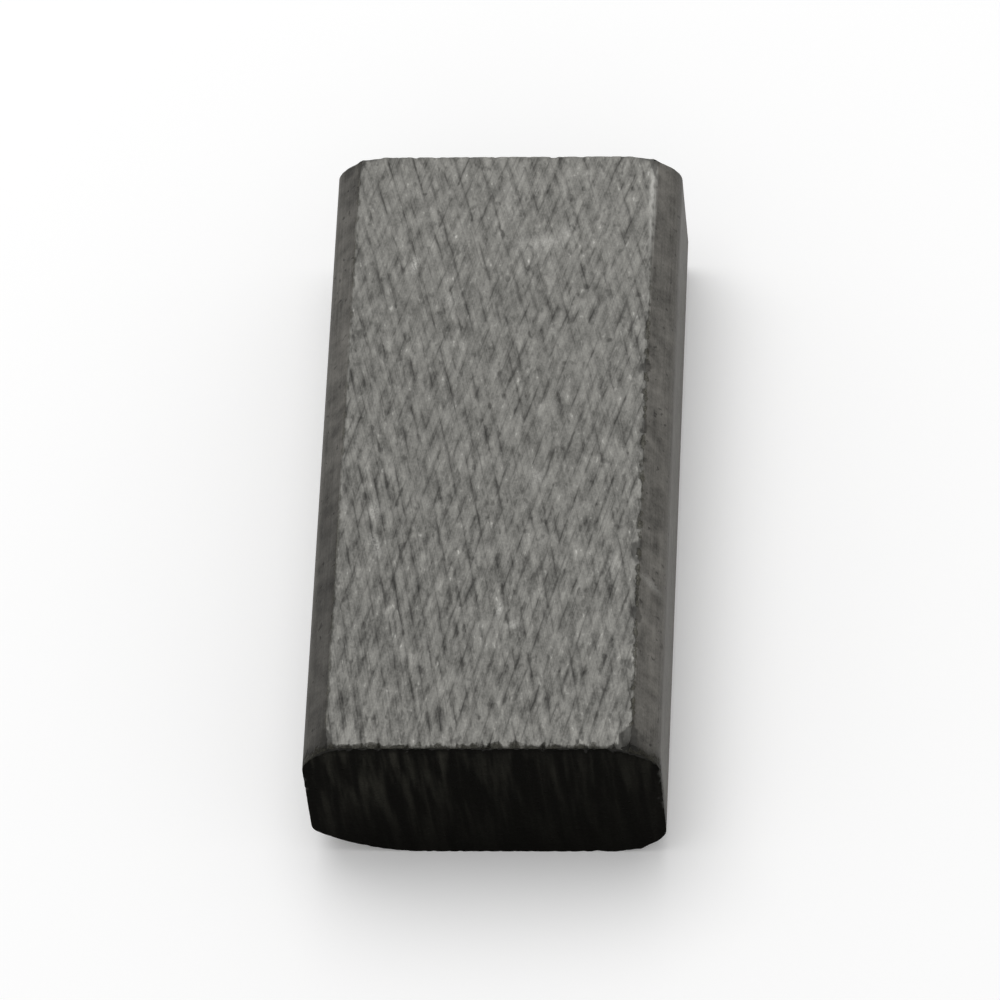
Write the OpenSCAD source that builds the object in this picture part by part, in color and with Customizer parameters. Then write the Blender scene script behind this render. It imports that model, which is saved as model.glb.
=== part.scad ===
// Carbon brush block: one bar of graphite with a flat ground face above and
// below, a flat on each side, a chamfer along each of its four long edges and
// plain cut ends. It lies on a broad face, with its length along Y and the
// origin at the middle of its footprint.

/* [Block] */
// Width across the sides, which a brush holder guides
block_w = 12.5; // [8:0.5:25]
// Length from one cut end to the other
block_l = 25; // [12:0.5:50]
// Thickness between the two ground faces
block_t = 7; // [5:0.5:16]

/* [Long edges] */
// Width that each chamfer takes off a broad face
chamfer_w = 0.9; // [0.5:0.05:1.5]
// Depth that each chamfer takes off a side
chamfer_d = 1.2; // [0.5:0.05:1.5]
// Radius of the worn arris where a chamfer meets a side
arris_r = 1; // [0.2:0.1:1.5]

/* [Hidden] */
graphite_grey = [0.3, 0.3, 0.29];

// The arris is a true arc in the solid, and this only sets its look on screen
$fn = 48;

// The section is drawn about the middle of the block, and this is its edge
half_w = block_w / 2;
half_t = block_t / 2;

// Height above the middle at which the straight chamfer would meet the side
shoulder_z = half_t - chamfer_d;

// Slope length of a chamfer, from the broad face to that shoulder
chamfer_l = norm([chamfer_w, chamfer_d]);

// Distance from the shoulder to where the arris arc touches chamfer and side
arris_run = arris_r * tan(atan2(chamfer_w, chamfer_d) / 2);

// Outline of the +X side, from the lower broad face to the upper one. Each
// shoulder is cut straight across, from one end of its arris arc to the other.
function side_outline() =
    let (
        cut_w = chamfer_w * arris_run / chamfer_l,
        cut_d = chamfer_d * arris_run / chamfer_l
    ) [
        [half_w - chamfer_w, -half_t],
        [half_w - cut_w, -shoulder_z - cut_d],
        [half_w, -shoulder_z + arris_run],
        [half_w, shoulder_z - arris_run],
        [half_w - cut_w, shoulder_z + cut_d],
        [half_w - chamfer_w, half_t]
    ];

// Section across the length. The far side is the near one turned half way
// round, and a disc fills each shoulder out to its rounded arris.
module section() {
    near_side = side_outline();
    far_side = [for (point = near_side) -point];
    polygon(concat(near_side, far_side));
    for (across = [-1, 1], up = [-1, 1])
        translate([across * (half_w - arris_r), up * (shoulder_z - arris_run)])
            circle(r = arris_r);
}

// The whole bar, drawn from one cut end to the other and raised to lie on
// its lower broad face
module brush_block() {
    color(graphite_grey)
        translate([0, block_l / 2, half_t])
            rotate([90, 0, 0])
                linear_extrude(height = block_l)
                    section();
}

brush_block();
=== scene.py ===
"""Finish and stage of a carbon brush block.

The block is one bar of graphite that lies on a broad face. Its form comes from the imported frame, and
this script gives it the surfaces that a real one has: two broad faces with the crossed arcs of a
grinding wheel, two ends with the lines of a saw, and darker chamfers and sides as they were pressed.
Meshes and objects are in metres. Node trees work in millimetres, so that their numbers can be read.
"""

import math

import bpy
from mathutils import Matrix, Vector


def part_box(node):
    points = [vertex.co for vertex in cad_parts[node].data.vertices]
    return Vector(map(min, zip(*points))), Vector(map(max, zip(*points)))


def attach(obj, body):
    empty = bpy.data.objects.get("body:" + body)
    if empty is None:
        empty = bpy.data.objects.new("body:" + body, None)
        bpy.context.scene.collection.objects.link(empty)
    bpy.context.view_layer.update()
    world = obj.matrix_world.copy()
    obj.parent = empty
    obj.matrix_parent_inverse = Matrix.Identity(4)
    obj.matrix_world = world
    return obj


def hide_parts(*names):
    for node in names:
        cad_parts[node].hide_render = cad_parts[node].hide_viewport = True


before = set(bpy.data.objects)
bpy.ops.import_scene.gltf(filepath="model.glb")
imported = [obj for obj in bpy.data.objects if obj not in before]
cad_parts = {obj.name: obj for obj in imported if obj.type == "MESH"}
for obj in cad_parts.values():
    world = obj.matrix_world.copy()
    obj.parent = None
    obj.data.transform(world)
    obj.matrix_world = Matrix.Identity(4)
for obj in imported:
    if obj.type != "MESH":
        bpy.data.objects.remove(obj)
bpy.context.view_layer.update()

bl_info = {
    "name": "Carbon Brush Finish",
    "version": (1, 0, 0),
    "blender": (4, 5, 0),
    "location": "View3D > Sidebar > Brush",
    "description": "Builds the ground, sawn and pressed surfaces of a carbon brush block",
    "category": "Object",
}

NODE = "brush_block"
BODY = "root"
PIECE = "graphite_bar"

MM = 0.001
BLOCK_LOW, BLOCK_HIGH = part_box(NODE)
BLOCK_SIZE = BLOCK_HIGH - BLOCK_LOW
BLOCK_MIDDLE = (BLOCK_LOW + BLOCK_HIGH) / 2

# Names of the values that the mesh carries to its material
GROUND = "ground_face"
CUT = "cut_end"
BROKEN = "broken_edge"

# Centre of the grinding wheel in either pass, in millimetres from the middle of a broad face, and how
# hard that pass was at the -X side and at the +X side
WHEELS = (((270.0, -76.0), 0.86, 1.15), ((-180.0, -41.0), 1.24, 0.84))
# Where across the bar a pass goes from the one strength to the other, and where along it both passes
# go from that of the near end to that of the far one
ACROSS_ZONE = (-5.0, 3.0)
ALONG_ZONE = (-10.0, 9.0)
NEAR_FORCE = 1.01
FAR_FORCE = 0.86
# Centre of the saw blade, in millimetres sideways and upwards from the middle of an end
BLADE = (90.0, 3.0)

# Seeds of the random marks on the lower face or the near end, and the step to those of the other one
GROOVE_SEED = 3.0
SAW_SEED = 50.0
FINE_SEED = 103.0
HAIR_SEED = 203.0
OTHER_SIDE = 20.0
# Distance between the rows of noise that two lines beside each other take their strength from
ROW_STEP = 50.0

# Where across the bar the +X arris's own wear starts and is whole, and where along the bar that arris
# starts to be bitten, or to have held and to carry a wider painted highlight, and is wholly so
ARRIS_ZONE = (4.0, 5.0)
BITTEN_ZONE = (9.0, 3.0)
HELD_ZONE = (5.0, 12.0)

# Edges that turn by more than this stay sharp
SHARP_ANGLE = math.radians(35)
# A face whose normal lies closer than this to an axis looks along it
STRAIGHT = 0.99
# What lies closer than this to a face, in millimetres, lies on it
ON_FACE = 0.001
# How far the floor lies below the block, and the camera's nearest distance
FLOOR_GAP = 0.01 * MM
NEAREST = 0.01

# Lumps in a millimetre of each noise, across, along and up the bar
GRAIN = (6.0, 2.6, 6.0)
DUST = (14.0, 14.0, 14.0)
CRISP = (13.0, 10.0, 13.0)
CLOUD = (0.4, 0.4, 0.4)
PITS = (4.5, 2.6, 4.5)
BLOTCHES = (2.0, 1.7, 2.0)
DRAG = (5.0, 0.12, 5.0)
SCORES = (11.0, 0.35, 11.0)
MOTTLE = (1.3, 0.8, 1.3)
SMEARS = (1.1, 1.9, 1.1)
PORES = (4.0, 4.0, 4.0)
RAGGED = (2.6, 2.6, 2.6)
CRUMBS = (3.2, 3.2, 3.2)
CHIPS = (0.9, 0.9, 0.9)
CHIPS_MOVE = (7.0, 3.0, 5.0)

# Light rubbed spots on the upper side: middle, length and width in millimetres, turn in degrees and
# strength
SCUFFS = (
    (1.35, 8.7, 2.6, 0.9, 6, 0.3),
    (2.3, 9.2, 1.2, 0.7, 60, 0.3),
    (0.2, 10.5, 2.2, 1.2, 80, 0.2),
    (-3.15, 7.8, 1.0, 0.36, 85, 1.0),
    (-1.65, 6.3, 0.9, 0.8, 30, 0.4),
    (-4.05, -2.7, 1.2, 0.7, 84, 0.46),
    (-4.0, -4.1, 1.2, 0.36, 104, 1.0),
    (0.5, -6.8, 0.8, 0.28, 84, 0.9),
    (1.0, -7.45, 0.75, 0.42, 8, 0.6),
    (1.65, -1.3, 0.9, 0.7, 70, 0.36),
    (4.45, -5.0, 1.8, 0.8, 80, 0.16),
    (5.75, -5.45, 1.0, 0.42, -32, 0.5),
    (5.3, -8.6, 0.5, 0.3, 80, 0.6),
)
# Dark nicks on the upper side, given in the same way
NICKS = (
    (-5.72, 12.1, 0.45, 0.28, 10, 0.7),
    (2.1, -0.3, 0.75, 0.28, 70, 0.8),
)

# Inputs of the tree that marks the bar, all of them lengths
MARK_SIZES = (
    "Width", "Length", "Thickness", "Chamfer Width", "Chamfer Depth",
    "Groove Pitch", "Groove Width", "Groove Depth", "Groove Run",
    "Saw Pitch", "Saw Width", "Saw Depth", "Saw Run",
    "Crumble", "Chip", "Corner Height", "Corner Reach",
)


def length(name, description, default):
    """A length property, shown in the scene's unit."""
    return bpy.props.FloatProperty(
        name=name, description=description, default=default, min=0, precision=6, unit="LENGTH"
    )


def share(name, description, default):
    """A property from nothing to all."""
    return bpy.props.FloatProperty(
        name=name, description=description, default=default, min=0, max=1, subtype="FACTOR"
    )


def angle(name, description, default):
    """An angle property, whose default is in degrees."""
    return bpy.props.FloatProperty(
        name=name, description=description, default=math.radians(default), subtype="ANGLE"
    )


def colour(name, description, default):
    """A colour property, in linear light."""
    return bpy.props.FloatVectorProperty(
        name=name, description=description, default=default, min=0, max=1, size=3, subtype="COLOR"
    )


class BarCells(bpy.types.PropertyGroup):
    """How closely the bar's skin is meshed."""

    across: length("Across", "Cell width across a broad face", 0.07 * MM)
    along: length("Along", "Cell length along the bar", 0.145 * MM)
    up: length("Up", "Cell height up the sides and the ends", 0.15 * MM)
    end_cell: length("End cell", "Cell length along the bar close to an end", 0.05 * MM)
    end_zone: length("End zone", "How far from an end the cells stay short", 0.8 * MM)


class GrindingMarks(bpy.types.PropertyGroup):
    """The crossed arcs that two passes of a grinding wheel leave on a broad face."""

    pitch: length("Pitch", "Distance from one arc to the next in one pass", 0.47 * MM)
    width: length("Width", "Width of one groove", 0.3 * MM)
    depth: length("Depth", "Depth of the deepest groove", 0.022 * MM)
    run: length("Run", "Usual length of a groove before it fades", 1.15 * MM)
    fine_pitch: length("Fine pitch", "Distance between the fine scratches of a pass", 0.21 * MM)
    fine_width: length("Fine width", "Width of a fine scratch", 0.13 * MM)
    fine_depth: length("Fine depth", "Depth of a fine scratch", 0.006 * MM)
    fine_run: length("Fine run", "Usual length of a fine scratch", 0.8 * MM)
    streak_width: length("Streak width", "Width of the cloudy streaks between the grooves", 0.3 * MM)
    streak_run: length("Streak run", "Length of the cloudy streaks", 1.35 * MM)
    hair_pitch: length("Hair pitch", "Distance between the hair lines of a pass", 0.1 * MM)
    hair_width: length("Hair width", "Width of a hair line", 0.05 * MM)


class SawMarks(bpy.types.PropertyGroup):
    """The lines that the saw leaves on a cut end."""

    pitch: length("Pitch", "Distance from one saw line to the next", 0.42 * MM)
    width: length("Width", "Width of one saw line", 0.34 * MM)
    depth: length("Depth", "Depth of the deepest saw line", 0.02 * MM)
    run: length("Run", "Usual length of a saw line before it fades", 4 * MM)


class EdgeWear(bpy.types.PropertyGroup):
    """How far the sharp edges have crumbled."""

    crumble: length("Crumble", "Most that the small breaks take along an edge", 0.11 * MM)
    chip: length("Chip", "Most that the few large chips take", 0.25 * MM)
    corner: length("Corner", "Height lost at the worn lower front corner", 0.85 * MM)
    reach: length("Reach", "How far the worn corner reaches", 3 * MM)


class GraphiteFinish(bpy.types.PropertyGroup):
    """Colours and gloss of the graphite's surfaces."""

    ground: colour("Ground", "Colour of a ground face", (0.185, 0.182, 0.169))
    pressed: colour("Pressed", "Colour of the chamfers and sides", (0.112, 0.107, 0.097))
    # The cut end's colour is darker than the graphite's own, with painted shade in it, as the end faces
    # away from the light
    sawn: colour("Sawn", "Colour of a cut end", (0.0022, 0.002, 0.0014))
    streak: colour("Streak", "Colour of the saw's streaks", (0.0275, 0.0265, 0.021))
    groove: colour("Groove", "Colour of the bottom of a groove", (0.045, 0.044, 0.041))
    # The fleck colour also paints the highlight along the arrises
    fleck_and_highlight: colour("Fleck", "Colour of a bright rubbed spot", (0.42, 0.415, 0.39))
    metallic: share("Metallic", "How far the ground graphite shines as a metal", 0.3)
    specular: share("Specular", "Strength of the plain reflection", 0.03)


class StudioStage(bpy.types.PropertyGroup):
    """Camera, floor and lamps."""

    azimuth: angle("Azimuth", "Camera's turn round the block", 8.5)
    elevation: angle("Elevation", "Camera's height over the floor", 56.9)
    roll: angle("Roll", "Camera's turn about its own axis", -7.25)
    distance: length("Distance", "Camera's distance from the block's middle", 320 * MM)
    lens: bpy.props.FloatProperty(
        name="Lens", description="Focal length in millimetres", default=322.6, min=20, unit="CAMERA"
    )
    floor: colour("Floor", "Colour of the floor", (0.97, 0.97, 0.97))
    backdrop: bpy.props.FloatProperty(
        name="Backdrop", description="White that the camera sees added to the floor", default=0.1, min=0
    )
    floor_size: length("Floor size", "Side of the square floor", 1.6)
    sky: bpy.props.FloatProperty(
        name="Sky", description="Strength of the even light from all round", default=0.5, min=0
    )
    lamp: bpy.props.FloatProperty(
        name="Lamp", description="Power of the soft lamp over the block", default=0.62, min=0, unit="POWER"
    )
    lamp_size: length("Lamp size", "Side of the square lamp", 0.28)
    lamp_azimuth: angle("Lamp azimuth", "Lamp's turn round the block", 210)
    lamp_elevation: angle("Lamp elevation", "Lamp's height over the floor", 75)
    lamp_distance: length("Lamp distance", "Lamp's distance from the block", 0.34)


def rgba(value):
    """A colour as node sockets take it."""
    return (*value, 1.0)


class Wiring:
    """Adds nodes to one tree and joins them. A value given to it is a number, a vector or a socket."""

    def __init__(self, tree):
        self.tree = tree

    def join(self, value, socket):
        """Gives a node's input its value."""
        if isinstance(value, bpy.types.NodeSocket):
            self.tree.links.new(value, socket)
        else:
            socket.default_value = value

    def node(self, kind, inputs=None, **settings):
        """A new node with its settings and its inputs, which are given by name or by number."""
        made = self.tree.nodes.new(kind)
        for name, value in settings.items():
            setattr(made, name, value)
        for name, value in (inputs or {}).items():
            self.join(value, made.inputs[name])
        return made

    def math(self, operation, *values):
        """Result of one sum."""
        return self.node("ShaderNodeMath", dict(enumerate(values)), operation=operation).outputs[0]

    def product(self, first, *others):
        """All the values multiplied."""
        for value in others:
            first = self.math("MULTIPLY", first, value)
        return first

    def total(self, start, *weighted):
        """A number, to which each value is added as many times as its weight says."""
        for value, weight in weighted:
            start = self.math("MULTIPLY_ADD", value, weight, start)
        return start

    def less(self, first, second):
        """The first number less the second."""
        return self.math("SUBTRACT", first, second)

    def vector(self, operation, *values):
        """Result of one sum on vectors."""
        return self.node("ShaderNodeVectorMath", dict(enumerate(values)), operation=operation).outputs[0]

    def size(self, vector):
        """Length of a vector."""
        return self.node("ShaderNodeVectorMath", {0: vector}, operation="LENGTH").outputs["Value"]

    def scaled(self, vector, factor):
        """A vector times a number."""
        return self.node("ShaderNodeVectorMath", {0: vector, "Scale": factor}, operation="SCALE").outputs[0]

    def parts(self, vector):
        """The x, y and z of a vector."""
        return tuple(self.node("ShaderNodeSeparateXYZ", {0: vector}).outputs)

    def joined(self, x, y, z):
        """A vector made of three numbers."""
        return self.node("ShaderNodeCombineXYZ", {0: x, 1: y, 2: z}).outputs[0]

    def ramp(self, value, start, end, low=0.0, high=1.0, kind="SMOOTHSTEP"):
        """Goes from low to high as the value goes from start to end, and no further."""
        inputs = {0: value, 1: start, 2: end, 3: low, 4: high}
        return self.node("ShaderNodeMapRange", inputs, interpolation_type=kind).outputs[0]

    def noise(self, vector, detail=2.0):
        """Cloudy noise about 0.5, with one lump to each unit of the vector."""
        inputs = {"Vector": vector, "Scale": 1.0, "Detail": detail}
        return self.node("ShaderNodeTexNoise", inputs).outputs[0]

    def lumps(self, vector, closeness, detail=2.0):
        """Cloudy noise about 0.5, with so many lumps to each unit of the vector's x, y and z."""
        return self.noise(self.vector("MULTIPLY", vector, closeness), detail)

    def luck(self, index, seed):
        """Three random numbers from 0 to 1, the same ones for the same index and seed."""
        inputs = {"Vector": self.joined(index, seed, 0.0)}
        made = self.node("ShaderNodeTexWhiteNoise", inputs, noise_dimensions="2D")
        return self.parts(made.outputs["Color"])

    def blend(self, factor, first, second):
        """A colour that goes from the first to the second with the factor."""
        return self.node("ShaderNodeMix", {0: factor, 6: first, 7: second}, data_type="RGBA").outputs[2]

    def choose(self, factor, first, second):
        """A number that goes from the first to the second with the factor."""
        return self.node("ShaderNodeMix", {0: factor, 2: first, 3: second}, data_type="FLOAT").outputs[0]

    def carried(self, name):
        """A value that the mesh carries, in a material."""
        return self.node("ShaderNodeAttribute", attribute_name=name).outputs["Fac"]


class Spot:
    """A point of the bar: its place in millimetres, and which half of the bar it lies in."""

    def __init__(self, w, position, half):
        self.half_w, self.half_l, self.half_t = half
        self.place = w.scaled(position, 1 / MM)
        self.x, self.y, self.z = w.parts(self.place)
        self.from_middle = w.less(self.z, self.half_t)
        self.upper = w.math("GREATER_THAN", self.from_middle, 0.0)
        self.far = w.math("GREATER_THAN", self.y, 0.0)
        self.at_right = w.math("GREATER_THAN", self.x, 0.0)
        self.by_right_arris = w.ramp(self.x, *ARRIS_ZONE)


def arc_place(w, x, y, centre):
    """Distance of a point from a wheel's centre, and its distance along the arc, in millimetres."""
    arm_x = w.less(x, centre[0])
    arm_y = w.less(y, centre[1])
    turn = w.math("ARCTAN2", arm_y, w.math("ABSOLUTE", arm_x))
    return w.size(w.joined(arm_x, arm_y, 0.0)), w.product(turn, math.hypot(*centre))


def arc_lines(w, place, pitch, width, run, seed):
    """Lines along the arcs about one centre: nearly 1 in the middle of the deepest, 0 between them.

    There is one arc in each pitch, out of its place by luck. It fades and comes back about once in a
    run, and its depth changes more slowly. It is a shallow dish with a narrow cut in its middle."""
    radius, along = place
    waver = w.product(w.noise(w.joined(radius, along, seed)), pitch, 0.3)
    count = w.math("DIVIDE", w.math("ADD", radius, waver), pitch)
    shift, fade_row, depth_row = w.luck(w.math("FLOOR", count), seed)
    offset = w.product(w.less(shift, 0.5), 0.5)
    beside = w.less(w.less(w.math("FRACT", count), 0.5), offset)
    away = w.product(w.math("ABSOLUTE", beside), pitch)
    dish = w.ramp(away, w.product(width, 0.5), 0.0)
    slit = w.ramp(away, w.product(width, 0.16), 0.0)

    def along_arc(row, stretch, detail):
        """Noise with about one lump to each stretch of the arc, other ones for other arcs."""
        return w.noise(w.joined(w.product(row, ROW_STEP), w.math("DIVIDE", along, stretch), seed), detail)

    fade = w.ramp(along_arc(fade_row, run, 2.0), 0.38, 0.62, 0.05, 1.0)
    depth = w.ramp(along_arc(depth_row, w.product(run, 1.7), 1.0), 0.36, 0.64, 0.17, 0.45)
    return w.product(w.math("ADD", dish, slit), fade, depth)


def arc_streaks(w, place, width, run, seed):
    """Cloudy streaks along the arcs about one centre, brighter and darker than 0."""
    radius, along = place
    clouds = w.noise(w.joined(w.math("DIVIDE", radius, width), w.math("DIVIDE", along, run), seed), 3.0)
    return w.less(clouds, 0.5)


def both_passes(w, spot, marks, *sizes):
    """Adds up the marks that the grinding wheel's two passes leave on a broad face.

    The sizes are those that the marks ask for, and the last of them is the seed for the lower face."""
    face_seed = w.math("MULTIPLY_ADD", spot.upper, OTHER_SIDE, sizes[-1])
    lengthwise = w.ramp(spot.y, *ALONG_ZONE, NEAR_FORCE, FAR_FORCE)
    made = []
    for number, (centre, left, right) in enumerate(WHEELS):
        seed = w.math("ADD", face_seed, float(number))
        pass_marks = marks(w, arc_place(w, spot.x, spot.y, centre), *sizes[:-1], seed)
        crosswise = w.ramp(spot.x, *ACROSS_ZONE, left, right)
        made.append(w.product(pass_marks, crosswise, lengthwise))
    return w.math("ADD", *made)


def bitten_arris(w, spot):
    """1 along the near part of the +X arris, which has crumbled most."""
    return w.product(spot.by_right_arris, w.ramp(spot.y, *BITTEN_ZONE))


def side_run():
    """Points up the +X side of the CAD block as (x, z), from its lower broad face to its upper one."""
    seen = set()
    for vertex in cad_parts[NODE].data.vertices:
        if vertex.co.x > BLOCK_MIDDLE.x:
            seen.add((round(vertex.co.x, 7), round(vertex.co.z, 7)))
    return [Vector(point) for point in sorted(seen, key=lambda point: point[1])]


def chamfer_size():
    """Width and depth of the CAD block's chamfer, from the straight start of its side."""
    first, second = side_run()[:2]
    width = BLOCK_HIGH.x - first.x
    return width, width * (second.y - first.y) / (second.x - first.x)


def spaced(points, cell):
    """Points about a cell apart, evenly along a line of points."""
    lengths = [(after - before).length for before, after in zip(points, points[1:])]
    count = round(sum(lengths) / cell)
    made = []
    for step in range(count + 1):
        left = sum(lengths) * step / count
        index = 0
        while index < len(lengths) - 1 and left > lengths[index]:
            left -= lengths[index]
            index += 1
        made.append(points[index].lerp(points[index + 1], min(left / lengths[index], 1)))
    return made


def stations(cells):
    """Places along the bar, closer together near both ends."""
    near = round(cells.end_zone / cells.end_cell)
    inner = BLOCK_SIZE.y - 2 * near * cells.end_cell
    middle = round(inner / cells.along)
    steps = [cells.end_cell] * near + [inner / middle] * middle + [cells.end_cell] * near
    places = [BLOCK_LOW.y]
    for step in steps:
        places.append(places[-1] + step)
    return places


def skin_cells(across, along, up):
    """Corners of each cell on the skin of a bar of across x along x up cells, in order, facing out."""
    for j in range(along):
        for i in range(across):
            flat = [(i, j), (i, j + 1), (i + 1, j + 1), (i + 1, j)]
            yield [(a, b, 0) for a, b in flat]
            yield [(a, b, up) for a, b in reversed(flat)]
        for k in range(up):
            flat = [(j, k), (j, k + 1), (j + 1, k + 1), (j + 1, k)]
            yield [(0, a, b) for a, b in flat]
            yield [(across, a, b) for a, b in reversed(flat)]
    for i in range(across):
        for k in range(up):
            flat = [(i, k), (i + 1, k), (i + 1, k + 1), (i, k + 1)]
            yield [(a, 0, b) for a, b in flat]
            yield [(a, along, b) for a, b in reversed(flat)]


def plain_bar(cells):
    """The CAD block's form again, as a closed mesh of small even cells."""
    side = spaced(side_run(), cells.up)
    places = stations(cells)
    across = round(2 * side[0].x / cells.across)
    numbers = {}
    points = []
    faces = []
    for corners in skin_cells(across, len(places) - 1, len(side) - 1):
        for corner in corners:
            if corner not in numbers:
                i, j, k = corner
                numbers[corner] = len(points)
                points.append((side[k].x * (2 * i / across - 1), places[j], side[k].y))
        faces.append([numbers[corner] for corner in corners])
    mesh = bpy.data.meshes.new(PIECE)
    mesh.from_pydata(points, [], faces)
    mesh.update()
    return mesh


def inward_distances(w, spot, chamfer_w, chamfer_d):
    """How far a point lies in from the nearest broad face, end, side and chamfer."""
    from_broad = w.less(spot.half_t, w.math("ABSOLUTE", spot.from_middle))
    from_end = w.less(spot.half_l, w.math("ABSOLUTE", spot.y))
    from_side = w.less(spot.half_w, w.math("ABSOLUTE", spot.x))
    slope = w.size(w.joined(chamfer_w, chamfer_d, 0.0))
    leaning = w.math("ADD", w.product(from_side, chamfer_d), w.product(from_broad, chamfer_w))
    beyond = w.less(leaning, w.product(chamfer_w, chamfer_d))
    from_chamfer = w.math("MAXIMUM", w.math("DIVIDE", beyond, slope), 0.0)
    return from_broad, from_end, from_side, from_chamfer


def broken_depth(w, spot, distances, grooves, given):
    """How much the four long arrises, the rims of both ends and the corners have lost."""
    from_broad, from_end, from_side, from_chamfer = distances
    near_right = w.math("MULTIPLY", w.less(1.0, spot.far), spot.at_right)
    arris = w.size(w.joined(from_chamfer, from_broad, 0.0))
    skin = w.math("MINIMUM", w.math("MINIMUM", from_side, from_broad), from_chamfer)
    rim = w.size(w.joined(from_end, w.math("MAXIMUM", skin, 0.0), 0.0))
    front_rim = w.product(spot.upper, w.less(1.0, spot.far), w.ramp(from_end, 1.0, 0.3))
    right_arris = w.product(spot.upper, bitten_arris(w, spot))

    crumbs = w.ramp(w.lumps(spot.place, CRUMBS, 4.0), 0.46, 0.76, 0.0, 0.8)
    notches = w.product(grooves, w.math("LESS_THAN", from_broad, 0.3), front_rim, 1.2)
    small = w.product(w.math("ADD", crumbs, notches), w.choose(spot.upper, 0.25, 0.6))
    weakest = w.math("MAXIMUM", w.choose(front_rim, 1.0, 3.4), w.choose(right_arris, 1.0, 1.6))
    small = w.product(small, weakest)

    chips = w.noise(w.vector("ADD", w.vector("MULTIPLY", spot.place, CHIPS), CHIPS_MOVE))
    chips = w.ramp(w.math("MULTIPLY_ADD", right_arris, 0.12, chips), 0.64, 0.8)
    past = w.joined(w.less(from_side, given["Chamfer Width"]), from_end, from_broad)
    corner = w.product(w.ramp(w.size(past), 1.0, 0.1), w.math("MAXIMUM", spot.upper, spot.at_right))
    corner = w.product(corner, w.choose(w.product(spot.upper, near_right), 0.8, 1.5))
    large = w.math("ADD", chips, corner)

    lost = w.math("ADD", w.product(small, given["Crumble"]), w.product(large, given["Chip"]))
    return w.math("MAXIMUM", w.less(lost, w.math("MINIMUM", arris, rim)), 0.0)


def worn_corner_lift(w, spot, from_end, given):
    """How far the lower edge has risen off the floor at the near end's left corner."""
    reach = given["Corner Reach"]
    chamfer_w = given["Chamfer Width"]
    past_arris = w.math("ADD", spot.x, w.less(spot.half_w, chamfer_w))
    inner = w.math("POWER", w.ramp(past_arris, reach, 0.0, kind="LINEAR"), 2.0)
    outer = w.ramp(past_arris, w.product(chamfer_w, -2.8), 0.0, kind="LINEAR")
    behind = w.math("POWER", w.ramp(from_end, reach, 0.0, kind="LINEAR"), 2.0)
    height = w.ramp(spot.z, reach, 0.0, kind="LINEAR")
    worn = w.product(w.math("MINIMUM", inner, outer), behind, height, w.less(1.0, spot.far))
    return w.product(worn, given["Corner Height"])


def marks_tree():
    """Geometry Nodes that press the grinding, saw and wear marks into a plain bar."""
    tree = bpy.data.node_groups.new("Brush block marks", "GeometryNodeTree")
    tree.is_modifier = True
    interface = tree.interface
    interface.new_socket("Geometry", in_out="INPUT", socket_type="NodeSocketGeometry")
    for name in MARK_SIZES:
        interface.new_socket(name, in_out="INPUT", socket_type="NodeSocketFloat")
    interface.new_socket("Material", in_out="INPUT", socket_type="NodeSocketMaterial")
    interface.new_socket("Geometry", in_out="OUTPUT", socket_type="NodeSocketGeometry")

    w = Wiring(tree)
    given = w.node("NodeGroupInput").outputs
    half = [w.product(given[name], 0.5) for name in ("Width", "Length", "Thickness")]
    spot = Spot(w, w.node("GeometryNodeInputPosition").outputs[0], half)
    normal = w.node("GeometryNodeInputNormal").outputs[0]
    _, normal_y, normal_z = w.parts(normal)
    distances = inward_distances(w, spot, given["Chamfer Width"], given["Chamfer Depth"])
    from_broad, from_end, _, _ = distances

    groove_sizes = [given[name] for name in ("Groove Pitch", "Groove Width", "Groove Run")]
    grooves = both_passes(w, spot, arc_lines, *groove_sizes, GROOVE_SEED)
    groove_depth = w.product(grooves, given["Groove Depth"], w.math("LESS_THAN", from_broad, ON_FACE))
    saw_sizes = [given[name] for name in ("Saw Pitch", "Saw Width", "Saw Run")]
    saw_seed = w.math("MULTIPLY_ADD", spot.far, OTHER_SIDE, SAW_SEED)
    saw_lines = arc_lines(w, arc_place(w, spot.x, spot.from_middle, BLADE), *saw_sizes, saw_seed)
    saw_depth = w.product(saw_lines, given["Saw Depth"], w.math("LESS_THAN", from_end, ON_FACE))
    broken = broken_depth(w, spot, distances, grooves, given)

    # The values that the material needs, stored before anything moves
    kept = given["Geometry"]
    for name, value, domain in (
        (GROUND, w.math("GREATER_THAN", w.math("ABSOLUTE", normal_z), STRAIGHT), "FACE"),
        (CUT, w.math("GREATER_THAN", w.math("ABSOLUTE", normal_y), STRAIGHT), "FACE"),
        (BROKEN, broken, "POINT"),
    ):
        inputs = {"Geometry": kept, "Name": name, "Value": value}
        store = w.node("GeometryNodeStoreNamedAttribute", inputs, data_type="FLOAT", domain=domain)
        kept = store.outputs[0]

    inward = w.total(w.math("ADD", groove_depth, saw_depth), (broken, 0.7))
    lift = w.product(worn_corner_lift(w, spot, from_end, given), MM)
    offset = w.vector("ADD", w.scaled(normal, w.product(inward, -MM)), w.joined(0.0, 0.0, lift))
    moved = w.node("GeometryNodeSetPosition", {"Geometry": kept, "Offset": offset}).outputs[0]
    real = w.node("GeometryNodeRealizeInstances", {0: moved}).outputs[0]
    inputs = {"Geometry": real, "Material": given["Material"]}
    painted = w.node("GeometryNodeSetMaterial", inputs).outputs[0]
    w.node("NodeGroupOutput", {0: painted})
    return tree


class Powder:
    """Noises of the pressed powder, which all surfaces share."""

    def __init__(self, w, spot):
        self.grain = w.lumps(spot.place, GRAIN, 3.0)
        self.dust = w.lumps(spot.place, DUST)
        self.crisp = w.less(w.lumps(spot.place, CRISP, 3.0), 0.5)
        self.cloud = w.lumps(spot.place, CLOUD, 3.0)


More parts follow.
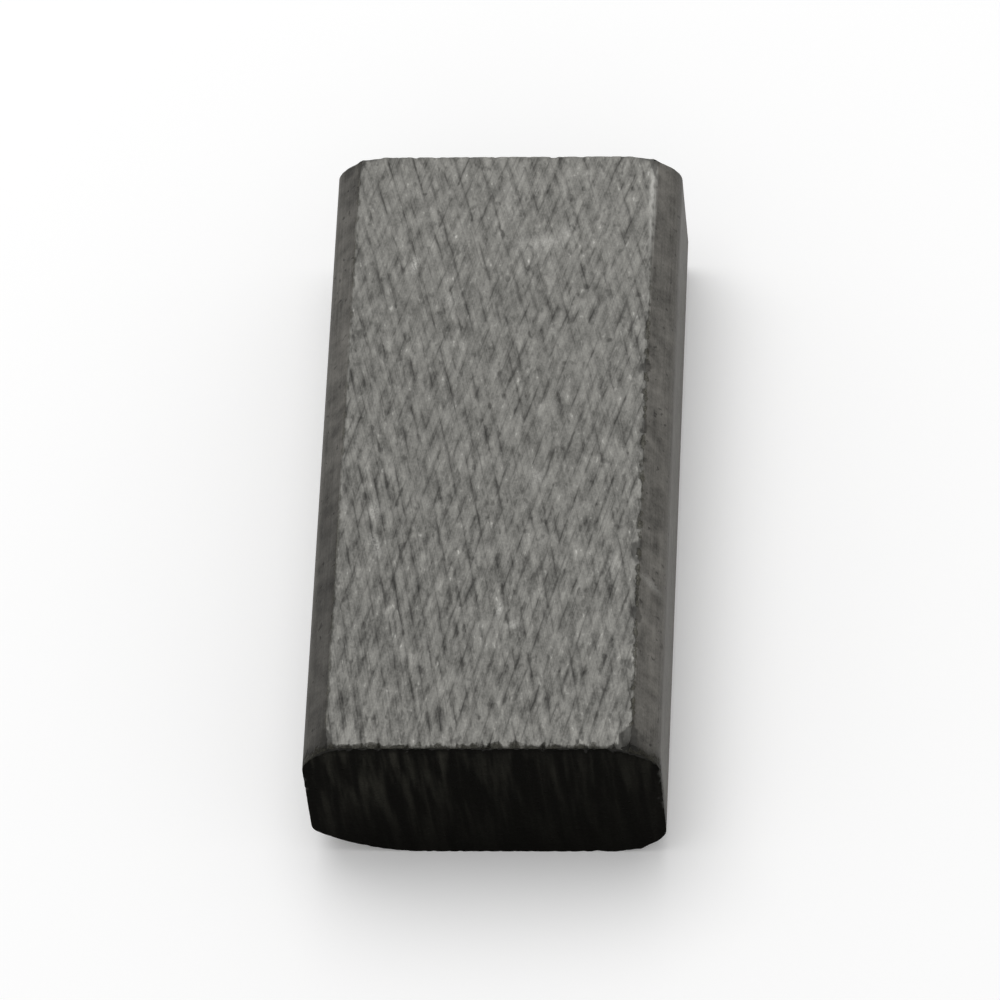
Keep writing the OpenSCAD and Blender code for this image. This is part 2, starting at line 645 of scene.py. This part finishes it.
class WheelMarks:
    """What the grinding wheel has left on a ground face, for its tone and its bump."""

    def __init__(self, w, spot, grinding):
        coarse = (grinding.pitch / MM, grinding.width / MM, grinding.run / MM)
        fine = (grinding.fine_pitch / MM, grinding.fine_width / MM, grinding.fine_run / MM)
        hair = (grinding.hair_pitch / MM, grinding.hair_width / MM, grinding.fine_run / MM)
        streak = (grinding.streak_width / MM, grinding.streak_run / MM)
        self.grooves = both_passes(w, spot, arc_lines, *coarse, GROOVE_SEED)
        self.fine = both_passes(w, spot, arc_lines, *fine, FINE_SEED)
        self.hairs = both_passes(w, spot, arc_lines, *hair, HAIR_SEED)
        self.streaks = both_passes(w, spot, arc_streaks, *streak, FINE_SEED)
        pits = w.ramp(w.lumps(spot.place, PITS, 1.0), 0.6, 0.74)
        scratched = w.total(0.0, (self.grooves, 1.1), (self.fine, 0.42), (pits, 0.45))
        self.scratched = w.math("MINIMUM", scratched, 1.0)


class DieMarks:
    """What the die has left on the chamfers and sides, for their tone and their bump."""

    def __init__(self, w, spot):
        self.drag = w.lumps(spot.place, DRAG, 3.0)
        self.scores = w.lumps(spot.place, SCORES, 3.0)
        self.pores = w.ramp(w.lumps(spot.place, PORES, 1.0), 0.66, 0.76)


def spotted(w, spot, patches):
    """How strong a list of patches is on the upper side, and 0 away from them all."""
    most = 0.0
    for middle_x, middle_y, long, wide, turn, strength in patches:
        centred = w.joined(w.less(spot.x, middle_x), w.less(spot.y, middle_y), 0.0)
        inputs = {"Vector": centred, "Angle": -math.radians(turn)}
        turned = w.node("ShaderNodeVectorRotate", inputs, rotation_type="Z_AXIS").outputs[0]
        away = w.size(w.vector("MULTIPLY", turned, (2 / long, 2 / wide, 0.0)))
        most = w.math("MAXIMUM", most, w.ramp(away, 1.3, 0.1, 0.0, strength))
    return w.product(most, spot.upper)


def ground_colour(w, spot, powder, wheel, rubbed, finish):
    """Colour of a ground face, which is a little lighter towards its ends and its +X side; the lightening
    towards the far end and the +X side is painted light, as if lit from behind and the right.
    """
    flecks = w.ramp(powder.grain, 0.62, 0.78, 0.0, 0.5)
    tone = w.blend(w.math("MAXIMUM", flecks, rubbed), rgba(finish.ground), rgba(finish.fleck_and_highlight))
    darkened = w.product(wheel.scratched, w.math("MULTIPLY_ADD", rubbed, -0.6, 0.85))
    tone = w.blend(darkened, tone, rgba(finish.groove))
    level = w.total(
        0.395,
        (wheel.streaks, 1.2),
        (powder.grain, 0.7),
        (w.lumps(spot.place, BLOTCHES, 1.0), 0.42),
        (powder.crisp, w.ramp(spot.y, *ALONG_ZONE, 0.66, 0.56)),
        (wheel.hairs, -0.26),
    )
    # Painted light: lighter along the bar towards the far end, and across it towards the +X side
    lengthwise = w.ramp(spot.y, -spot.half_l, spot.half_l, 0.955, 1.04, "LINEAR")
    far_end_painted_light = w.ramp(spot.y, 6.6, 8.4, 1.0, 1.075)
    near_end = w.ramp(spot.y, -spot.half_l, -spot.half_l + 2.0, 1.09, 1.0)
    crosswise = w.ramp(spot.x, -5.0, 5.0, 0.97, 1.035, "LINEAR")
    return w.scaled(tone, w.product(level, lengthwise, far_end_painted_light, near_end, crosswise))


def pressed_colour(w, spot, powder, die, rubbed, finish):
    """Colour of the chamfers and sides, with faint lines along the bar where the die has dragged."""
    flat_side = w.ramp(w.math("ABSOLUTE", spot.x), spot.half_w - 0.3, spot.half_w - 0.05)
    mottle = w.lumps(spot.place, MOTTLE, 4.0)
    smears = w.lumps(spot.place, SMEARS, 4.0)
    blotches = w.total(-1.35, (mottle, 0.9), (smears, 1.2), (powder.cloud, 0.6))
    blotches = w.product(blotches, w.choose(flat_side, 1.2, 0.36))
    level = w.total(blotches, (die.drag, 0.5), (die.scores, 0.5), (powder.crisp, 0.7))
    level = w.math("ADD", level, 0.48)
    level = w.product(level, w.math("MULTIPLY_ADD", die.pores, w.choose(flat_side, -0.45, -0.3), 1.0))

    # Painted light and shade: the -X chamfer is lightest from its middle to near its far end and painted
    # darker towards its near end, the side below it is painted darker towards the near end, the +X chamfer
    # and side are painted lighter, and all end at the near end in a band of painted shade
    left_chamfer = w.product(w.ramp(spot.y, -2.6, 0.8, 0.61, 1.0), w.ramp(spot.y, 8.2, 9.0, 1.0, 0.82))
    left_painted_shade = w.choose(flat_side, left_chamfer, w.ramp(spot.y, -12.0, 4.0, 0.66, 0.95))
    level = w.product(level, w.choose(spot.at_right, left_painted_shade, 1.12))
    # Band of painted shade along the near end, where the rim turns away from the light
    level = w.product(level, w.ramp(spot.y, -spot.half_l, -spot.half_l + 0.95, 0.3, 1.0))
    tone = w.scaled(tuple(finish.pressed), level)
    return w.blend(w.product(rubbed, 0.6), tone, rgba(finish.fleck_and_highlight))


def cut_colour(w, spot, powder, saw, finish):
    """Colour of a cut end: nearly black, partly as painted shade, with streaks along the saw lines at its
    upper left.
    """
    seed = w.math("MULTIPLY_ADD", spot.far, OTHER_SIDE, SAW_SEED)
    place = arc_place(w, spot.x, spot.from_middle, BLADE)
    lines = arc_lines(w, place, saw.pitch / MM, saw.width / MM, saw.run / MM, seed)
    wipes = arc_streaks(w, place, saw.width / MM * 1.3, saw.run / MM, seed)
    upwards = w.ramp(spot.from_middle, -spot.half_t, spot.half_t, 0.12, 1.0)
    leftwards = w.ramp(spot.x, 3.0, -4.0, 0.45, 1.0)
    below_rim = w.ramp(w.less(spot.half_t, spot.from_middle), 0.1, 0.5, 0.25, 1.0)
    shine = w.math("ADD", w.product(lines, 0.5), w.ramp(wipes, -0.08, 0.22))
    shine = w.math("MINIMUM", w.product(shine, upwards, leftwards, below_rim), 1.0)
    tone = w.blend(shine, rgba(finish.sawn), rgba(finish.streak))
    return w.scaled(tone, w.total(0.7, (powder.grain, 0.6), (powder.crisp, 1.2)))


def fraying(w, spot, arris, held, scratched):
    """Dark fringe along the upper front rim, and along the long upper arrises. Its darkness is partly that
    of broken graphite and partly painted shade.

    Gives the rim's part and all of it. The saw has frayed the rim, and the +X arris is the worse of
    the two, apart from its far part, which has held."""
    ragged = w.ramp(w.lumps(spot.place, RAGGED, 5.0), 0.4, 0.7)
    bitten = bitten_arris(w, spot)
    towards_side = w.ramp(w.math("ABSOLUTE", spot.x), 5.2, 5.6)
    rim_reach = w.total(0.0, (ragged, 0.18), (scratched, 0.1), (towards_side, 0.1))
    rim_fray = w.ramp(w.less(w.math("ADD", spot.y, spot.half_l), rim_reach), 0.14, -0.04)
    arris_reach = w.product(ragged, w.choose(bitten, 0.08, 0.13))
    arris_fray = w.ramp(w.less(arris, arris_reach), 0.05, -0.05)
    arris_fray = w.product(arris_fray, w.choose(bitten, 0.6, 0.9), w.less(1.0, held))
    return rim_fray, w.product(w.math("MAXIMUM", rim_fray, arris_fray), spot.upper)


def bump_height(w, ground, powder, wheel, die, fray, fine_depth):
    """Height of the fine grain, lines and pores, in millimetres."""
    ground_height = w.less(w.product(wheel.streaks, 0.008), w.product(wheel.fine, fine_depth))
    pressed_height = w.total(0.0, (die.drag, 0.02), (die.pores, -0.02))
    height = w.choose(ground, pressed_height, ground_height)
    height = w.total(height, (powder.dust, 0.006), (powder.grain, 0.008))
    return w.less(height, w.product(fray, w.math("MULTIPLY_ADD", powder.dust, 0.08, 0.03)))


def graphite_material(finish, grinding, saw, chamfer_w):
    """The graphite: its zones, lines, grain, worn edges and gloss."""
    material = bpy.data.materials.new("graphite")
    material.use_nodes = True
    material.node_tree.nodes.clear()
    w = Wiring(material.node_tree)
    spot = Spot(w, w.node("ShaderNodeTexCoord").outputs["Object"], BLOCK_SIZE / 2 / MM)
    ground = w.carried(GROUND)
    on_skin = w.less(1.0, w.carried(CUT))
    powder = Powder(w, spot)
    wheel = WheelMarks(w, spot, grinding)
    die = DieMarks(w, spot)
    rubbed = w.product(spotted(w, spot, SCUFFS), w.ramp(powder.dust, 0.35, 0.65, 0.5, 1.0))

    pressed_tone = pressed_colour(w, spot, powder, die, rubbed, finish)
    ground_tone = ground_colour(w, spot, powder, wheel, rubbed, finish)
    cut_tone = cut_colour(w, spot, powder, saw, finish)
    tone = w.blend(on_skin, cut_tone, w.blend(ground, pressed_tone, ground_tone))

    # Painted highlight along the arrises, in patches, widest along the far part of the +X one, which has
    # held
    arris_x = w.less(w.math("ABSOLUTE", spot.x), spot.half_w - chamfer_w / MM)
    arris_z = w.less(w.math("ABSOLUTE", spot.from_middle), spot.half_t)
    arris = w.size(w.joined(arris_x, arris_z, 0.0))
    held = w.product(spot.upper, spot.by_right_arris, w.ramp(spot.y, *HELD_ZONE))
    arris_highlight = w.product(w.ramp(w.math("DIVIDE", arris, w.choose(held, 0.09, 0.24)), 1.0, 0.3), 0.75)
    arris_highlight = w.product(arris_highlight, w.math("MAXIMUM", held, w.ramp(powder.cloud, 0.45, 0.62, 0.0, 0.4)))
    arris_highlight = w.product(arris_highlight, w.ramp(powder.grain, 0.3, 0.6, 0.35, 1.0), on_skin)
    tone = w.blend(arris_highlight, tone, rgba(finish.fleck_and_highlight))

    # Broken edges, dark nicks and the frayed fringe; the broken edges and the fringe are dark partly as
    # broken graphite and partly as painted shade
    broken = w.ramp(w.carried(BROKEN), 0.004, 0.05)
    tone = w.blend(w.product(broken, 0.6), tone, rgba(finish.groove))
    tone = w.blend(w.product(spotted(w, spot, NICKS), on_skin), tone, rgba(finish.groove))
    rim_fray, fray = fraying(w, spot, arris, held, wheel.scratched)
    fray = w.product(fray, on_skin)
    fibre_level = w.total(0.0, (powder.dust, 3.0), (powder.crisp, 2.0))
    fibre_level = w.product(fibre_level, w.choose(rim_fray, 1.5, 0.75))
    tone = w.blend(w.product(fray, 0.9), tone, w.scaled(tuple(finish.streak), fibre_level))

    height = bump_height(w, ground, powder, wheel, die, fray, grinding.fine_depth / MM)
    bump = w.node("ShaderNodeBump", {"Strength": 1.0, "Distance": MM, "Height": height}).outputs[0]
    shine = w.product(w.choose(ground, 0.6, 1.0), on_skin, w.less(1.0, broken), finish.metallic)
    roughness = w.choose(ground, 0.5, w.math("MULTIPLY_ADD", powder.dust, 0.3, 0.3))
    inputs = {
        "Base Color": tone,
        "Metallic": shine,
        "Roughness": w.choose(on_skin, 0.8, roughness),
        "Specular IOR Level": finish.specular,
        "Normal": bump,
    }
    shader = w.node("ShaderNodeBsdfPrincipled", inputs).outputs[0]
    w.node("ShaderNodeOutputMaterial", {0: shader})
    return material


def set_inputs(modifier, values):
    """Gives a Geometry Nodes modifier its inputs, each by its socket's identifier."""
    for socket in modifier.node_group.interface.items_tree:
        if socket.in_out == "INPUT" and socket.name in values:
            modifier[socket.identifier] = values[socket.name]


def apply_modifiers(obj):
    """Turns an object with modifiers into a plain mesh."""
    graph = bpy.context.evaluated_depsgraph_get()
    graph.update()
    plain = obj.data
    obj.data = bpy.data.meshes.new_from_object(
        obj.evaluated_get(graph), preserve_all_data_layers=True, depsgraph=graph
    )
    obj.data.name = obj.name
    obj.modifiers.clear()
    bpy.data.meshes.remove(plain)


class CARBON_BRUSH_OT_make_bar(bpy.types.Operator):
    """Make the graphite bar with its ground faces, sawn ends and worn edges"""

    bl_idname = "carbon_brush.make_bar"
    bl_label = "Make the bar"

    def execute(self, context):
        scene = context.scene
        grinding = scene.brush_grinding
        saw = scene.brush_saw
        wear = scene.brush_wear
        chamfer_w, chamfer_d = chamfer_size()
        material = graphite_material(scene.brush_finish, grinding, saw, chamfer_w)
        bar = bpy.data.objects.new(PIECE, plain_bar(scene.brush_cells))
        scene.collection.objects.link(bar)
        modifier = bar.modifiers.new("Marks", "NODES")
        modifier.node_group = marks_tree()
        lengths = (
            *BLOCK_SIZE, chamfer_w, chamfer_d,
            grinding.pitch, grinding.width, grinding.depth, grinding.run,
            saw.pitch, saw.width, saw.depth, saw.run,
            wear.crumble, wear.chip, wear.corner, wear.reach,
        )
        set_inputs(modifier, {name: value / MM for name, value in zip(MARK_SIZES, lengths)})
        set_inputs(modifier, {"Material": material})
        apply_modifiers(bar)
        bar.data.shade_smooth()
        bar.data.set_sharp_from_angle(angle=SHARP_ANGLE)
        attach(bar, BODY)
        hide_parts(NODE)
        return {"FINISHED"}


def turned_to(azimuth, elevation):
    """Way from the block to a thing at that turn and height, with +X to its right at no turn."""
    level = math.cos(elevation)
    return Vector((math.sin(azimuth) * level, -math.cos(azimuth) * level, math.sin(elevation)))


def facing_block(way, distance, roll=0.0):
    """Place for a lamp or camera at a distance from the block's middle, looking at it."""
    turn = way.to_track_quat("Z", "Y").to_matrix().to_4x4()
    return Matrix.Translation(BLOCK_MIDDLE + way * distance) @ turn @ Matrix.Rotation(roll, 4, "Z")


def seen_directly(w):
    """1 for what the camera sees, also in a reflection or through glass, and 0 for light on the block."""
    path = w.node("ShaderNodeLightPath").outputs
    seen = w.math("MAXIMUM", path["Is Camera Ray"], path["Is Glossy Ray"])
    return w.math("MAXIMUM", seen, path["Is Transmission Ray"])


def floor_material(value, backdrop):
    """A matt floor, to which the camera sees some white added."""
    material = bpy.data.materials.new("floor")
    material.use_nodes = True
    material.node_tree.nodes.clear()
    w = Wiring(material.node_tree)
    inputs = {
        "Base Color": rgba(value),
        "Roughness": 1.0,
        "Specular IOR Level": 0.0,
        "Emission Color": rgba((1, 1, 1)),
        "Emission Strength": w.product(seen_directly(w), backdrop),
    }
    w.node("ShaderNodeOutputMaterial", {0: w.node("ShaderNodeBsdfPrincipled", inputs).outputs[0]})
    return material


def set_sky(scene, strength):
    """An even light from all round, which the camera and reflections see as plain white."""
    world = bpy.data.worlds.new("Studio")
    world.use_nodes = True
    world.node_tree.nodes.clear()
    w = Wiring(world.node_tree)
    inputs = {"Color": rgba((1, 1, 1)), "Strength": w.choose(seen_directly(w), strength, 1.0)}
    w.node("ShaderNodeOutputWorld", {0: w.node("ShaderNodeBackground", inputs).outputs[0]})
    scene.world = world


class CARBON_BRUSH_OT_set_stage(bpy.types.Operator):
    """Set up the floor, the light and the camera"""

    bl_idname = "carbon_brush.set_stage"
    bl_label = "Set the stage"

    def execute(self, context):
        scene = context.scene
        stage = scene.brush_stage
        half = stage.floor_size / 2
        level = BLOCK_LOW.z - FLOOR_GAP
        corners = [(-half, -half, level), (half, -half, level), (half, half, level), (-half, half, level)]
        mesh = bpy.data.meshes.new("studio_floor")
        mesh.from_pydata(corners, [], [(0, 1, 2, 3)])
        mesh.materials.append(floor_material(stage.floor, stage.backdrop))
        floor = bpy.data.objects.new("studio_floor", mesh)
        scene.collection.objects.link(floor)

        set_sky(scene, stage.sky)
        light = bpy.data.lights.new("soft_lamp", "AREA")
        light.energy = stage.lamp
        light.size = stage.lamp_size
        lamp = bpy.data.objects.new("soft_lamp", light)
        way = turned_to(stage.lamp_azimuth, stage.lamp_elevation)
        lamp.matrix_world = facing_block(way, stage.lamp_distance)
        scene.collection.objects.link(lamp)

        lens = bpy.data.cameras.new("camera")
        lens.lens = stage.lens
        lens.clip_start = NEAREST
        camera = bpy.data.objects.new("camera", lens)
        way = turned_to(stage.azimuth, stage.elevation)
        camera.matrix_world = facing_block(way, stage.distance, stage.roll)
        scene.collection.objects.link(camera)
        scene.camera = camera
        scene.view_settings.view_transform = "Standard"
        return {"FINISHED"}


# The settings that the scene holds, by name
SETTINGS = {
    "brush_cells": BarCells,
    "brush_grinding": GrindingMarks,
    "brush_saw": SawMarks,
    "brush_wear": EdgeWear,
    "brush_finish": GraphiteFinish,
    "brush_stage": StudioStage,
}
OPERATORS = (CARBON_BRUSH_OT_make_bar, CARBON_BRUSH_OT_set_stage)


class CARBON_BRUSH_PT_finish(bpy.types.Panel):
    """Lists the steps and settings of the brush block"""

    bl_label = "Carbon brush"
    bl_idname = "CARBON_BRUSH_PT_finish"
    bl_space_type = "VIEW_3D"
    bl_region_type = "UI"
    bl_category = "Brush"

    def draw(self, context):
        for operator in OPERATORS:
            self.layout.operator(operator.bl_idname)
        for name, group in SETTINGS.items():
            box = self.layout.box()
            for setting in group.__annotations__:
                box.prop(getattr(context.scene, name), setting)


CLASSES = (*SETTINGS.values(), *OPERATORS, CARBON_BRUSH_PT_finish)


def register():
    """Adds the classes, and the settings that a scene holds."""
    for item in CLASSES:
        bpy.utils.register_class(item)
    for name, group in SETTINGS.items():
        setattr(bpy.types.Scene, name, bpy.props.PointerProperty(type=group))


def unregister():
    """Takes the settings and the classes out again."""
    for name in SETTINGS:
        delattr(bpy.types.Scene, name)
    for item in reversed(CLASSES):
        bpy.utils.unregister_class(item)


def main():
    """Builds the bar and the stage."""
    register()
    bpy.ops.carbon_brush.make_bar()
    bpy.ops.carbon_brush.set_stage()


if __name__ == "__main__":
    main()
